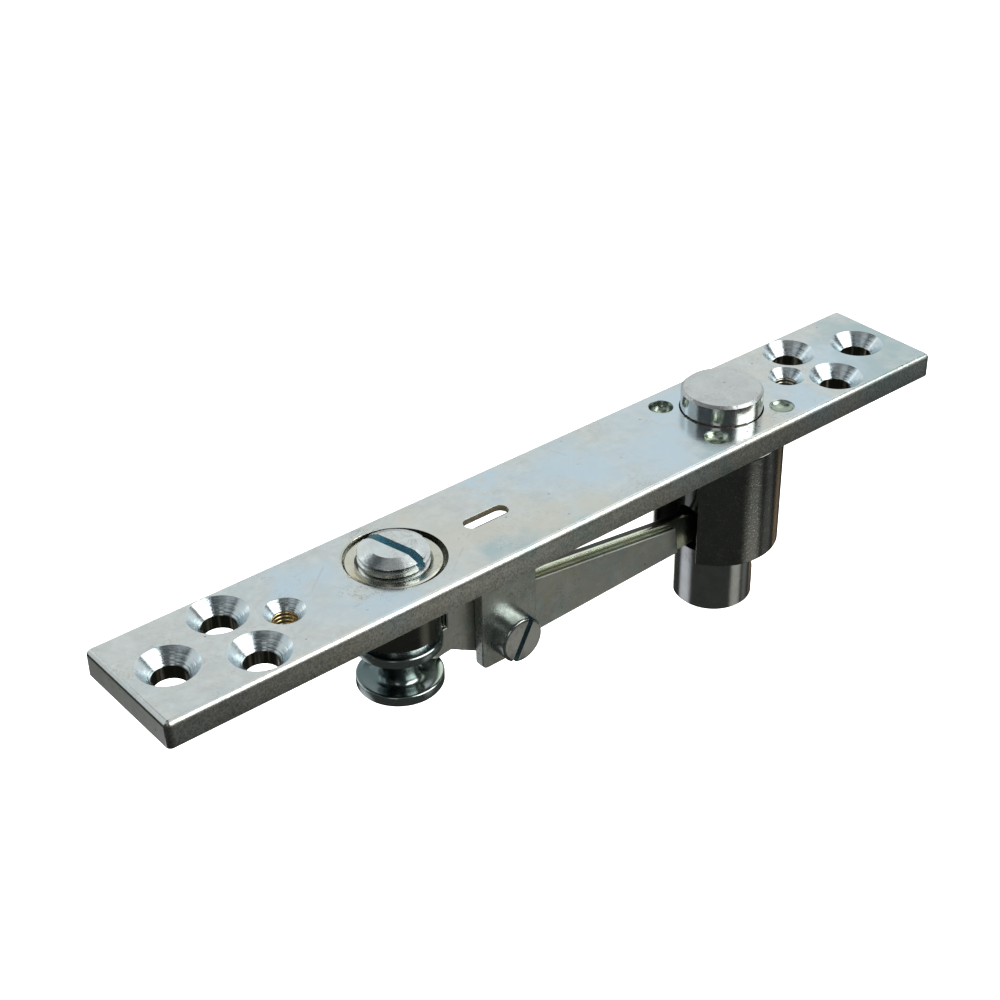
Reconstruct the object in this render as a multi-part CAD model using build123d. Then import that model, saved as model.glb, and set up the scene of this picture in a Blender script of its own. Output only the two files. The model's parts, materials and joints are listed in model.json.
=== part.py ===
from build123d import *
import os
from math import cos, sin, radians

# A door's top pivot: a retracting pin in a face plate that is let into the
# head of the opening. X runs along the plate from the adjusting screw to
# the pin, Y across it and Z out of the opening's face, the way the pin comes
# out. The origin is where the pin's axis meets the plate's face. Every piece
# is drawn with the pin 4 mm proud, as it stands before fitting.

# Face plate, a drawn flat bar
plate_width = 23.8
plate_thickness = 4.7
plate_edge_round = 1.0
plate_corner_round = 0.9
plate_end_past_screw = 49.75
plate_end_past_pin = 44.2

# Fixing holes: the distance of each from its own end of the plate
end_hole_inset = 7.6
pair_hole_inset = 20.1
pair_hole_spacing = 12.0
left_small_hole_inset = 28.5
right_small_hole_inset = 27.1
screw_hole_bore = 5.6
screw_hole_sink = 10.1
small_hole_bore = 4.0
small_hole_sink = 7.0

# Sight slot over the lever's pivot, flared out from below
sight_slot_length = 9.0
sight_slot_width = 3.0
sight_slot_lip = 1.2
sight_slot_before_pivot = 1.5

# Pivot pin and the sleeve that guides it
pin_diameter = 15.0
pin_proud = 4.1
pin_foot_past_sleeve = 13.1
pin_top_chamfer = 0.5
pin_foot_chamfer = 0.5
pin_running_fit = 0.05
pin_plate_gap = 0.2
pin_slot_side_play = 1.8
pin_slot_over_tongue = 1.8
pin_slot_under_tongue = 0.2
pin_slot_past_tongue = 1.3
holding_hole_diameter = 3.6
holding_hole_depth = 3.0
holding_hole_below_sleeve = 5.9
holding_hole_angle = -47.0
sleeve_inset = 0.1
sleeve_foot_z = -27.5
sleeve_slot_width = 10.5
sleeve_slot_chamfer = 0.3
sleeve_foot_chamfer = 0.3

# Plugs through the plate, over the sleeve's rim
plug_diameter = 4.6
plug_inset = 0.8
plug_angle = 40.3
plug_top_drop = 0.15
plug_dish_depth = 0.9
plug_rim = 0.15

# Adjusting screw, its bush, and the spool that rides on its spigot
screw_to_pin = 74.45
screw_diameter = 11.9
screw_proud = 3.0
screw_top_flat = 8.0
screw_shoulder_fall = 1.3
screw_slot_width = 1.6
screw_slot_depth = 2.4
screw_slot_angle = 103.0
thread_gap = 0.05
bush_wall = 2.0
bush_hole_play = 0.65
bush_hole_shift_x = 0.5
bush_hole_shift_y = 0.3
bush_flange_overlap = 0.95
bush_flange_thickness = 1.3
bush_foot_wall = 1.2
bush_foot_above_ring = 1.25
bush_mouth_chamfer = 0.35
spool_diameter = 15.0
spool_neck_diameter = 6.2
spool_top_z = -14.85
spool_ring_thickness = 1.8
spool_dish_thickness = 2.0
spool_dish_hollow = 0.45
spool_root = 0.9
spool_edge_chamfer = 0.5
spool_rim_land = 0.7
spool_bore_gap = 0.05
spigot_diameter = 3.4
spigot_head_overlap = 0.8
spigot_head_thickness = 0.8

# Bracket under the plate, its cross screw, bush and nut
pivot_to_pin = 53.8
pivot_z = -22.3
ear_width = 12.0
ear_before_pivot = 0.3
ear_below_pivot = 5.2
ear_side_play = 0.3
ear_thickness = 2.0
ear_corner_round = 1.2
base_off_flange = 0.35
base_past_pivot = 11.8
base_thickness = 2.0
cross_screw_diameter = 5.0
cross_screw_fit = 0.05
cross_head_diameter = 8.5
cross_head_height = 3.3
cross_head_chamfer = 0.3
cross_slot_width = 1.2
cross_slot_depth = 1.5
cross_slot_tilt = 62.0
cross_end_proud = 0.8
nut_across_flats = 8.0
nut_thickness = 4.0
lever_bush_diameter = 7.0
lever_bush_fit = 0.05

# Lever, a blade between two thinner cheeks
blade_thickness = 2.0
cheek_thickness = 1.0
nose_off_screw = 6.65
nose_diameter = 5.3
nose_play = 0.3
tongue_diameter = 7.0
tongue_below_pivot = 1.5
tongue_heel = 3.0
lever_hub_radius = 5.15
lever_hub_left_turn = 30.0
lever_neck_past_pivot = 7.8
lever_neck_above_pivot = 6.3
lever_top_step = 1.0
lever_past_nose = 2.1
lever_arm_foot = 11.2
lever_nose_heel = 0.35
lever_top_above_pivot = 9.1
lever_shoulder_before_pivot = 4.0
cheek_end_past_pivot = 41.5
cheek_end_slant = 0.8
cheek_end_above_tongue = 3.4
lever_end_below_tongue = 2.3

# Derived places along the plate
screw_x = -screw_to_pin
pivot_x = -pivot_to_pin
plate_left_x = screw_x - plate_end_past_screw
plate_right_x = plate_end_past_pin
plate_length = plate_right_x - plate_left_x

# Derived sizes round the pin
sleeve_diameter = plate_width - 2 * sleeve_inset
pin_hole_diameter = pin_diameter + 2 * pin_plate_gap
pin_foot_z = sleeve_foot_z - pin_foot_past_sleeve
plug_ring_radius = sleeve_diameter / 2 - plug_inset
plug_x = plug_ring_radius * cos(radians(plug_angle))
plug_y = plug_ring_radius * sin(radians(plug_angle))

# Derived sizes of the adjuster
bush_bore = screw_diameter + 2 * thread_gap
bush_top_diameter = bush_bore + 2 * bush_wall
bush_hole_diameter = bush_top_diameter + 2 * bush_hole_play
bush_flange_diameter = bush_hole_diameter + 2 * bush_flange_overlap
bush_foot_diameter = bush_bore + 2 * bush_foot_wall
bush_foot_z = spool_top_z + bush_foot_above_ring
spool_groove = nose_diameter + 2 * nose_play
spool_ring_foot_z = spool_top_z - spool_ring_thickness
spool_dish_z = spool_ring_foot_z - spool_groove
spool_foot_z = spool_dish_z - spool_dish_thickness

# Derived sizes of bracket and lever
lever_thickness = blade_thickness + 2 * cheek_thickness
ear_gap = lever_thickness + 2 * ear_side_play
bracket_half = ear_gap / 2 + ear_thickness
ear_foot_z = pivot_z - ear_below_pivot
base_left_x = screw_x + bush_flange_diameter / 2 + base_off_flange
base_right_x = pivot_x + base_past_pivot
screw_clearance = cross_screw_diameter + 2 * cross_screw_fit
nose_x = screw_x + nose_off_screw
nose_z = spool_dish_z + spool_groove / 2
tongue_z = pivot_z - tongue_below_pivot
tongue_top_z = tongue_z + tongue_diameter / 2
tongue_foot_z = tongue_z - tongue_diameter / 2
cheek_end_x = pivot_x + cheek_end_past_pivot
lever_end_foot_z = tongue_z - lever_end_below_tongue
pin_slot_width = blade_thickness + 2 * pin_slot_side_play
pin_slot_top_z = tongue_top_z + pin_slot_over_tongue
pin_slot_foot_z = tongue_foot_z - pin_slot_under_tongue
pin_slot_end_x = tongue_diameter / 2 + pin_slot_past_tongue


def upright(diameter, z_low, z_high, x=0.0, y=0.0):
    """A round bar standing along Z."""
    bar = Cylinder(diameter / 2, z_high - z_low, align=(Align.CENTER, Align.CENTER, Align.MIN))
    return Pos(x, y, z_low) * bar


def through_plate(diameter, x, y=0.0):
    """A drill that passes the whole plate."""
    return upright(diameter, -plate_thickness - 1, 1, x, y)


def turned(points, x):
    """A piece turned about the vertical through x, from its half section."""
    section = make_face(Polyline([(r, 0, z) for r, z in points], close=True))
    return Pos(x, 0, 0) * revolve(section, Axis.Z)


def cross_bar(diameter, y_low, y_high, x=pivot_x, z=pivot_z):
    """A round bar lying along Y."""
    bar = Cylinder(diameter / 2, y_high - y_low)
    return Pos(x, (y_low + y_high) / 2, z) * Rot(90, 0, 0) * bar


def sunk_hole(bore, sink, x, y=0.0):
    """A countersunk hole right through the plate, its cone at 90 degrees."""
    depth = (sink - bore) / 2
    cone = Pos(x, y, -depth / 2) * Cone(bore / 2, sink / 2, depth)
    return through_plate(bore, x, y) + cone


def fixing_holes():
    """The eight screw holes, the same at both ends but for the small pair."""
    holes = []
    ends = ((plate_left_x, 1, left_small_hole_inset), (plate_right_x, -1, right_small_hole_inset))
    for end_x, inward, small_inset in ends:
        holes.append(sunk_hole(screw_hole_bore, screw_hole_sink, end_x + inward * end_hole_inset))
        holes.append(sunk_hole(small_hole_bore, small_hole_sink, end_x + inward * small_inset))
        for y in (-pair_hole_spacing / 2, pair_hole_spacing / 2):
            pair_x = end_x + inward * pair_hole_inset
            holes.append(sunk_hole(screw_hole_bore, screw_hole_sink, pair_x, y))
    return holes


def plug_places():
    """The four places round the pin where the sleeve is plugged on."""
    return [(x, y) for x in (-plug_x, plug_x) for y in (-plug_y, plug_y)]


def sight_slot():
    """The slot through the plate near the lever's pivot, flared from below."""
    x = pivot_x - sight_slot_before_pivot
    through = extrude(SlotOverall(sight_slot_length, sight_slot_width), plate_thickness + 1, both=True)
    flare_depth = plate_thickness - sight_slot_lip
    mouth = SlotOverall(sight_slot_length + 2 * flare_depth, sight_slot_width + 2 * flare_depth)
    flare = extrude(Pos(0, 0, -plate_thickness) * mouth, flare_depth, taper=45)
    return Pos(x, 0, 0) * (through + flare)


def face_plate():
    bar_mid = Pos((plate_left_x + plate_right_x) / 2, 0, -plate_thickness / 2)
    bar = bar_mid * Box(plate_length, plate_width, plate_thickness)
    bar = fillet(bar.edges().filter_by(Axis.Z), plate_corner_round)
    bar = fillet(bar.edges().filter_by(Axis.X).group_by(Axis.Z)[-1], plate_edge_round)
    for hole in fixing_holes():
        bar -= hole
    for x, y in plug_places():
        bar -= through_plate(plug_diameter, x, y)
    bar -= through_plate(pin_hole_diameter, 0)
    bar -= through_plate(bush_hole_diameter, screw_x + bush_hole_shift_x, bush_hole_shift_y)
    return bar - sight_slot()


def sleeve_plugs():
    """Four dished plugs that fill the plate's holes down to the sleeve."""
    plugs = []
    for x, y in plug_places():
        plug = upright(plug_diameter, -plate_thickness, -plug_top_drop, x, y)
        dish_z = -plug_top_drop - plug_dish_depth / 2
        rim = plug_diameter / 2 - plug_rim
        plugs.append(plug - Pos(x, y, dish_z) * Cone(0, rim, plug_dish_depth))
    return Compound(children=plugs)


def guide_sleeve():
    """The pin's guide, slotted on the lever's side from plate to foot."""
    body = upright(sleeve_diameter, sleeve_foot_z, -plate_thickness)
    body = chamfer(body.edges().group_by(Axis.Z)[0], sleeve_foot_chamfer)
    body -= upright(pin_diameter + 2 * pin_running_fit, sleeve_foot_z - 1, 0)
    slot = Box(sleeve_diameter, sleeve_slot_width, 2 * -sleeve_foot_z)
    body -= Pos(-sleeve_diameter / 2, 0, sleeve_foot_z) * slot
    outer_edges = body.edges().filter_by(Axis.Z).sort_by(Axis.X)[:2]
    return chamfer(outer_edges, sleeve_slot_chamfer)


def pivot_pin():
    """The pin, slotted from the lever's side for the tongue."""
    pin = upright(pin_diameter, pin_foot_z, pin_proud)
    pin = chamfer(pin.edges().group_by(Axis.Z)[-1], pin_top_chamfer)
    pin = chamfer(pin.edges().group_by(Axis.Z)[0], pin_foot_chamfer)
    start_x = -pin_diameter / 2 - 1
    reach = pin_slot_end_x - start_x
    mid_x = (start_x + pin_slot_end_x) / 2
    arch_z = pin_slot_top_z - pin_slot_width / 2
    flat_height = arch_z - pin_slot_foot_z
    pin -= Pos(mid_x, 0, pin_slot_foot_z + flat_height / 2) * Box(reach, pin_slot_width, flat_height)
    pin -= Pos(mid_x, 0, arch_z) * Rot(0, 90, 0) * Cylinder(pin_slot_width / 2, reach)
    hole_z = sleeve_foot_z - holding_hole_below_sleeve
    hole_mid = pin_diameter / 2 - holding_hole_depth / 2 + 0.5
    drill = Cylinder(holding_hole_diameter / 2, holding_hole_depth + 1)
    return pin - Rot(0, 0, holding_hole_angle) * Pos(hole_mid, 0, hole_z) * Rot(0, 90, 0) * drill


def threaded_bush():
    """The bush that carries the adjusting screw, flanged under the plate."""
    bore = bush_bore / 2
    top = bush_top_diameter / 2
    foot = bush_foot_diameter / 2
    flange = bush_flange_diameter / 2
    flange_z = -plate_thickness - bush_flange_thickness
    half_section = [
        (bore, bush_foot_z),
        (foot, bush_foot_z),
        (foot, flange_z),
        (flange, flange_z),
        (flange, -plate_thickness),
        (top, -plate_thickness),
        (top, 0),
        (bore + bush_mouth_chamfer, 0),
        (bore, -bush_mouth_chamfer),
    ]
    return turned(half_section, screw_x)


def adjusting_screw():
    """The slotted screw, with the spigot that holds the spool below it."""
    radius = screw_diameter / 2
    spigot = spigot_diameter / 2
    head = spigot + spigot_head_overlap
    half_section = [
        (0, screw_proud),
        (screw_top_flat / 2, screw_proud),
        (radius, screw_proud - screw_shoulder_fall),
        (radius, spool_top_z),
        (spigot, spool_top_z),
        (spigot, spool_foot_z),
        (head, spool_foot_z),
        (head, spool_foot_z - spigot_head_thickness),
        (0, spool_foot_z - spigot_head_thickness),
    ]
    screw = turned(half_section, screw_x)
    slot = Rot(0, 0, screw_slot_angle) * Box(screw_diameter + 2, screw_slot_width, 2 * screw_slot_depth)
    return screw - Pos(screw_x, 0, screw_proud) * slot


def adjuster_spool():
    """Ring, neck and hollowed dish that carry the lever's nose."""
    bore = spigot_diameter / 2 + spool_bore_gap
    neck = spool_neck_diameter / 2
    rim = spool_diameter / 2
    hollow_z = spool_dish_z - spool_dish_hollow
    half_section = [
        (bore, spool_top_z),
        (rim - spool_edge_chamfer, spool_top_z),
        (rim, spool_top_z - spool_edge_chamfer),
        (rim, spool_ring_foot_z),
        (neck, spool_ring_foot_z),
        (neck, hollow_z + spool_root),
        (neck + spool_root, hollow_z),
        (rim - spool_rim_land, spool_dish_z),
        (rim, spool_dish_z),
        (rim, spool_foot_z),
        (bore, spool_foot_z),
    ]
    return turned(half_section, screw_x)


def pivot_bracket():
    """A folded strip: two ears down, the base against the plate."""
    base = Box(base_right_x - base_left_x, 2 * bracket_half, base_thickness)
    base_mid = (base_left_x + base_right_x) / 2
    bracket = Pos(base_mid, 0, -plate_thickness - base_thickness / 2) * base
    ear_height = -plate_thickness - ear_foot_z
    for side in (-1, 1):
        y = side * (bracket_half - ear_thickness / 2)
        ear = Box(ear_width, ear_thickness, ear_height)
        ear = Pos(pivot_x - ear_before_pivot, y, ear_foot_z + ear_height / 2) * ear
        bracket += fillet(ear.edges().filter_by(Axis.Y).group_by(Axis.Z)[0], ear_corner_round)
    return bracket - cross_bar(screw_clearance, -bracket_half - 1, bracket_half + 1)


def lever_pivot_screw():
    """Cheese-headed cross screw through both ears."""
    front_y = -bracket_half - cross_head_height
    head = cross_bar(cross_head_diameter, front_y, -bracket_half)
    head = chamfer(head.edges().group_by(Axis.Y)[0], cross_head_chamfer)
    end_y = bracket_half + nut_thickness + cross_end_proud
    screw = head + cross_bar(cross_screw_diameter, -bracket_half, end_y)
    slot = Box(cross_head_diameter + 2, 2 * cross_slot_depth, cross_slot_width)
    return screw - Pos(pivot_x, front_y, pivot_z) * Rot(0, -cross_slot_tilt, 0) * slot


def pivot_screw_nut():
    nut = extrude(RegularPolygon(nut_across_flats / 2, 6, major_radius=False), nut_thickness)
    nut = Pos(pivot_x, bracket_half, pivot_z) * Rot(-90, 0, 0) * nut
    return nut - cross_bar(screw_clearance, bracket_half - 1, bracket_half + nut_thickness + 1)


def lever_bush():
    """The tube between the ears that the lever rocks on."""
    tube = cross_bar(lever_bush_diameter, -ear_gap / 2, ear_gap / 2)
    return tube - cross_bar(screw_clearance, -ear_gap, ear_gap)


def lever_layer(y_mid, thickness, top_step, end_points):
    """One flat layer of the lever; end_points close its outline at the pin's end."""
    left_x = nose_x + lever_past_nose
    top_z = pivot_z + lever_top_above_pivot
    nose_radius = nose_diameter / 2
    hub_turn = radians(lever_hub_left_turn)
    outline = [
        (nose_x, nose_z - nose_radius),
        (nose_x, nose_z + nose_radius),
        (left_x, nose_z + nose_radius),
        (left_x, top_z),
        (pivot_x - lever_shoulder_before_pivot, top_z),
        (pivot_x + lever_neck_past_pivot, pivot_z + lever_neck_above_pivot + top_step),
        *end_points,
        (pivot_x, pivot_z - lever_hub_radius),
        (pivot_x - lever_hub_radius * sin(hub_turn), pivot_z - lever_hub_radius * cos(hub_turn)),
        (pivot_x - lever_arm_foot, nose_z - nose_radius + lever_nose_heel),
    ]
    face = make_face(Polyline([(x, 0, z) for x, z in outline], close=True))
    sheet = Pos(0, y_mid, 0) * extrude(face, thickness / 2, both=True)
    faces_y = (y_mid - thickness / 2, y_mid + thickness / 2)
    sheet += cross_bar(nose_diameter, *faces_y, nose_x, nose_z)
    sheet += cross_bar(2 * lever_hub_radius, *faces_y)
    return sheet - cross_bar(lever_bush_diameter + 2 * lever_bush_fit, y_mid - thickness, y_mid + thickness)


def lever_blade():
    """The middle layer, which reaches into the pin with its round tongue."""
    end_points = [
        (cheek_end_x, tongue_z + cheek_end_above_tongue + lever_top_step),
        (0, tongue_top_z),
        (0, tongue_foot_z),
        (-tongue_heel, lever_end_foot_z),
    ]
    blade = lever_layer(0, blade_thickness, lever_top_step, end_points)
    return blade + cross_bar(tongue_diameter, -blade_thickness / 2, blade_thickness / 2, 0, tongue_z)


def lever_cheek(side):
    end_points = [
        (cheek_end_x, tongue_z + cheek_end_above_tongue),
        (cheek_end_x + cheek_end_slant, lever_end_foot_z),
    ]
    return lever_layer(side * (blade_thickness + cheek_thickness) / 2, cheek_thickness, 0, end_points)


pieces = {
    "face_plate": face_plate(),
    "sleeve_plugs": sleeve_plugs(),
    "guide_sleeve": guide_sleeve(),
    "pivot_pin": pivot_pin(),
    "threaded_bush": threaded_bush(),
    "adjusting_screw": adjusting_screw(),
    "adjuster_spool": adjuster_spool(),
    "pivot_bracket": pivot_bracket(),
    "lever_pivot_screw": lever_pivot_screw(),
    "pivot_screw_nut": pivot_screw_nut(),
    "lever_bush": lever_bush(),
    "lever_blade": lever_blade(),
    "lever_cheek_front": lever_cheek(-1),
    "lever_cheek_rear": lever_cheek(1),
}

os.makedirs("parts", exist_ok=True)
for name, piece in pieces.items():
    export_step(piece, "parts/" + name + ".step")
    print(name, round(piece.volume, 1), piece.is_valid)
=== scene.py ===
import json
import math
import bpy
import bmesh
from mathutils import Matrix, Vector
from mathutils.noise import noise as noiseAt


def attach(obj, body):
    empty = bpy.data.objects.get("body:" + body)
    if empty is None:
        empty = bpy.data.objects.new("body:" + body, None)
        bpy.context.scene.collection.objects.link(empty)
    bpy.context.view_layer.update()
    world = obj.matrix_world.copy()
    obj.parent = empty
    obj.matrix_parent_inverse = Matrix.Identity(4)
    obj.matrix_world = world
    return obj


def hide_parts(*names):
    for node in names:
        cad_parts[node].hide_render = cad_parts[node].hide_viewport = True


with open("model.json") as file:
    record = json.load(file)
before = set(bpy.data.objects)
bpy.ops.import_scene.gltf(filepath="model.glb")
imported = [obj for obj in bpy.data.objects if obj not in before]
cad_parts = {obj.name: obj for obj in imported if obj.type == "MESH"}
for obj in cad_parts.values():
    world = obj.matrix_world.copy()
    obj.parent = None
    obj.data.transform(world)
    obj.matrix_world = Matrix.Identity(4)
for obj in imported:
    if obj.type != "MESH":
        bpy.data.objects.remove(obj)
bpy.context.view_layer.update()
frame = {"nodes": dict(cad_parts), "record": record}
nodes = frame["nodes"]
print("door top pivot: frame loaded,", len(nodes), "CAD nodes")

scene = bpy.context.scene
scene.view_settings.view_transform = "Standard"
mm = 0.001

# camera, where the photograph was taken from
shot = {
    "place": (-0.21803, -0.20493, 0.17367),
    "forward": (0.52708, 0.65138, -0.54579),
    "up": (0.35783, 0.41242, 0.83777),
    "lens": 67.91,
    "sensor": 36,
    "clip": (0.01, 20),
}


def setCamera(shot):
    data = bpy.data.cameras.new("photoCamera")
    data.lens = shot["lens"]
    data.sensor_width = shot["sensor"]
    data.sensor_fit = "HORIZONTAL"
    data.clip_start, data.clip_end = shot["clip"]
    cam = bpy.data.objects.new("photoCamera", data)
    back = -Vector(shot["forward"]).normalized()
    right = Vector(shot["up"]).cross(back).normalized()
    up = back.cross(right)
    turn = Matrix((right, up, back)).transposed()
    cam.matrix_world = Matrix.Translation(shot["place"]) @ turn.to_4x4()
    scene.collection.objects.link(cam)
    scene.camera = cam


# white sweep below, softboxes all round, and a painted darker room that only the metal's reflections see
studio = {
    "floorZ": -0.20,
    "floorSize": 8.0,
    "floorColor": (0.90, 0.90, 0.90),
    "floorGlow": 0.75,
    "floorRough": 0.9,
    "floorInGloss": (0.032, 0.034, 0.031),
    "worldColor": (1.0, 1.0, 1.0),
    "worldInGloss": (0.06, 0.065, 0.07),
    "patchCore": 0.4,  # share of a lit patch's radius at full strength
    "aim": (-0.04, 0, -0.005),
}
# painted reflections: glowing floor patches that only mirrored rays see, standing in for lit patches of
# the table that the metal's lower sides mirror: place, radius, colour
paintedGlossPatches = {
    "left": ((-0.165, 0.155), 0.11, (0.66, 0.67, 0.72)),
    "end": ((-0.245, 0.245), 0.08, (0.20, 0.20, 0.185)),
    "right": ((0.11, -0.225), 0.10, (0.42, 0.41, 0.375)),
    "dim": ((0.235, -0.13), 0.08, (0.16, 0.16, 0.15)),
    "warm": ((0.28, 0.02), 0.07, (0.26, 0.18, 0.12)),
    "back": ((0.155, 0.215), 0.11, (1.60, 1.65, 1.48)),
    "farRight": ((0.345, -0.235), 0.08, (0.22, 0.245, 0.26)),
}
softboxes = {
    "backSweep": {"azimuth": 52, "elevation": 23, "away": 1.0, "size": (3.2, 1.3), "level": 0.88,
                  "color": (0.96, 0.99, 1.0)},
    "keyLamp": {"azimuth": 302, "elevation": 42, "away": 0.9, "size": (0.80, 0.60), "level": 3.8,
                "color": (1.0, 0.99, 0.97)},
    "lowRight": {"azimuth": 305, "elevation": 8, "away": 0.9, "size": (0.5, 0.42), "level": 0.42,
                 "color": (1.0, 0.98, 0.95)},
    "highRight": {"azimuth": 0, "elevation": 62, "away": 0.9, "size": (0.8, 0.5), "level": 1.0,
                  "color": (1.0, 1.0, 1.0)},
    "leftPanel": {"azimuth": 128, "elevation": 22, "away": 0.9, "size": (0.70, 0.80), "level": 0.75,
                  "color": (0.94, 0.98, 1.0)},
    "highLeft": {"azimuth": 172, "elevation": 52, "away": 0.9, "size": (0.42, 0.36), "level": 0.55,
                 "color": (0.94, 0.98, 1.0)},
    "ceiling": {"azimuth": 200, "elevation": 82, "away": 0.9, "size": (0.6, 0.6), "level": 0.28,
                "color": (1.0, 1.0, 1.0)},
    "windowStrip": {"azimuth": 214, "elevation": 34, "away": 0.9, "size": (0.28, 0.30), "level": 0.9,
                    "color": (1.0, 0.98, 0.93)},
}


def setInputs(tree, node, inputs):
    for key, value in inputs.items():
        if isinstance(value, bpy.types.NodeSocket):
            tree.links.new(value, node.inputs[key])
        else:
            node.inputs[key].default_value = value


def addNode(tree, kind, inputs=None, **settings):
    node = tree.nodes.new("ShaderNode" + kind)
    for key, value in settings.items():
        setattr(node, key, value)
    setInputs(tree, node, inputs or {})
    return node


def pathMix(tree, seen, glossy, output):
    # what the camera sees, and a painted darker room that only mirrored rays see
    path = addNode(tree, "LightPath")
    sockets = {0: path.outputs["Is Glossy Ray"], 1: seen.outputs[0], 2: glossy.outputs[0]}
    mix = addNode(tree, "MixShader", sockets)
    tree.links.new(mix.outputs[0], output.inputs["Surface"])


def addFloor(studio, patches):
    bm = bmesh.new()
    bmesh.ops.create_grid(bm, x_segments=1, y_segments=1, size=studio["floorSize"] / 2)
    bmesh.ops.translate(bm, vec=(0, 0, studio["floorZ"]), verts=bm.verts)
    mesh = bpy.data.meshes.new("studioFloor")
    bm.to_mesh(mesh)
    bm.free()
    mat = bpy.data.materials.new("paleFloor")
    mat.use_nodes = True
    tree = mat.node_tree
    bsdf = tree.nodes["Principled BSDF"]
    bsdf.inputs["Base Color"].default_value = (*studio["floorColor"], 1)
    bsdf.inputs["Roughness"].default_value = studio["floorRough"]
    bsdf.inputs["Specular IOR Level"].default_value = 0
    bsdf.inputs["Emission Color"].default_value = (1, 1, 1, 1)
    bsdf.inputs["Emission Strength"].default_value = studio["floorGlow"]
    spot = addNode(tree, "TexCoord").outputs["Object"]
    glow = None
    for place, radius, color in patches.values():
        centre = (*place, studio["floorZ"])
        away = addNode(tree, "VectorMath", {0: spot, 1: centre}, operation="DISTANCE")
        core = radius * studio["patchCore"]
        fade = addNode(tree, "MapRange", {0: away.outputs["Value"], 1: radius, 2: core},
                       interpolation_type="SMOOTHSTEP")
        last = (*studio["floorInGloss"], 1) if glow is None else glow
        lit = addNode(tree, "Mix", {0: fade.outputs[0], 6: last, 7: (*color, 1)}, data_type="RGBA")
        glow = lit.outputs[2]
    dark = addNode(tree, "Emission", {"Color": glow})
    pathMix(tree, bsdf, dark, tree.nodes["Material Output"])
    mesh.materials.append(mat)
    floor = bpy.data.objects.new("studioFloor", mesh)
    scene.collection.objects.link(floor)


def addSoftboxes(softboxes, aim):
    for name, box in softboxes.items():
        az, el = math.radians(box["azimuth"]), math.radians(box["elevation"])
        way = Vector((math.cos(az) * math.cos(el), math.sin(az) * math.cos(el), math.sin(el)))
        data = bpy.data.lights.new(name, "AREA")
        data.shape = "RECTANGLE"
        data.size, data.size_y = box["size"]
        data.energy = box["level"] * math.pi * data.size * data.size_y
        data.color = box["color"]
        lamp = bpy.data.objects.new(name, data)
        lamp.location = Vector(aim) + way * box["away"]
        lamp.rotation_euler = (-way).to_track_quat("-Z", "Y").to_euler()
        lamp.visible_camera = False
        scene.collection.objects.link(lamp)


def addWorld(studio):
    world = bpy.data.worlds.new("studioWorld")
    world.use_nodes = True
    tree = world.node_tree
    seen = tree.nodes["Background"]
    seen.inputs["Color"].default_value = (*studio["worldColor"], 1)
    dark = addNode(tree, "Background", {"Color": (*studio["worldInGloss"], 1)})
    pathMix(tree, seen, dark, tree.nodes["World Output"])
    scene.world = world


setCamera(shot)
addFloor(studio, paintedGlossPatches)
addSoftboxes(softboxes, studio["aim"])
addWorld(studio)
print("camera, floor and light set")


# small shader helpers: each gives the socket of its result
def calc(tree, operation, a, b=0.0, c=0.0):
    return addNode(tree, "Math", {0: a, 1: b, 2: c}, operation=operation).outputs[0]


def ramp(tree, value, low, high, start=0.0, end=1.0):
    sockets = {0: value, 1: low, 2: high, 3: start, 4: end}
    return addNode(tree, "MapRange", sockets, clamp=True).outputs[0]


def noise(tree, vector, scale, detail=2.0, rough=0.5, bend=0.0):
    sockets = {"Vector": vector, "Scale": scale, "Detail": detail, "Roughness": rough,
               "Distortion": bend}
    return addNode(tree, "TexNoise", sockets).outputs["Fac"]


def tint(tree, mask, a, b, blend="MIX"):
    # 6 and 7 are the colour sockets of the Mix node
    a, b = (c if isinstance(c, bpy.types.NodeSocket) else (*c, 1) for c in (a, b))
    return addNode(tree, "Mix", {0: mask, 6: a, 7: b}, data_type="RGBA", blend_type=blend).outputs[2]


def fadeIn(tree, mask, value):
    # 1 where the mask is 0, the value where it is 1
    return addNode(tree, "Mix", {0: mask, 2: 1.0, 3: value}).outputs[0]


def vectorCalc(tree, operation, a, b):
    return addNode(tree, "VectorMath", {0: a, 1: b}, operation=operation).outputs[0]


def measure(tree, operation, a, b=(0, 0, 0)):
    return addNode(tree, "VectorMath", {0: a, 1: b}, operation=operation).outputs["Value"]


def scaled(tree, vector, factor):
    return addNode(tree, "VectorMath", {0: vector, "Scale": factor}, operation="SCALE").outputs[0]


def moved(tree, vector, place=(0, 0, 0), scale=(1, 1, 1), turn=(0, 0, 0)):
    sockets = {"Vector": vector, "Location": place, "Rotation": turn, "Scale": scale}
    return addNode(tree, "Mapping", sockets).outputs[0]


def newGroup(name, inputs, outputs):
    # a group of nodes, with the sockets to read from and to write to
    tree = bpy.data.node_groups.new(name, "ShaderNodeTree")
    for label, kind, value in inputs:
        socket = tree.interface.new_socket(label, in_out="INPUT", socket_type="NodeSocket" + kind)
        if value is not None:
            socket.default_value = value
    for label, kind in outputs:
        tree.interface.new_socket(label, in_out="OUTPUT", socket_type="NodeSocket" + kind)
    return tree, tree.nodes.new("NodeGroupInput").outputs, tree.nodes.new("NodeGroupOutput").inputs


def useGroup(tree, group, inputs):
    node = tree.nodes.new("ShaderNodeGroup")
    node.node_tree = group
    setInputs(tree, node, inputs)
    return node.outputs


filmTones = {
    "blue": (0.88, 1.0, 1.08),
    "straw": (1.06, 0.99, 0.86),
    "smudge": (0.50, 0.43, 0.35),
    "speck": (0.42, 0.38, 0.33),
}


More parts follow.
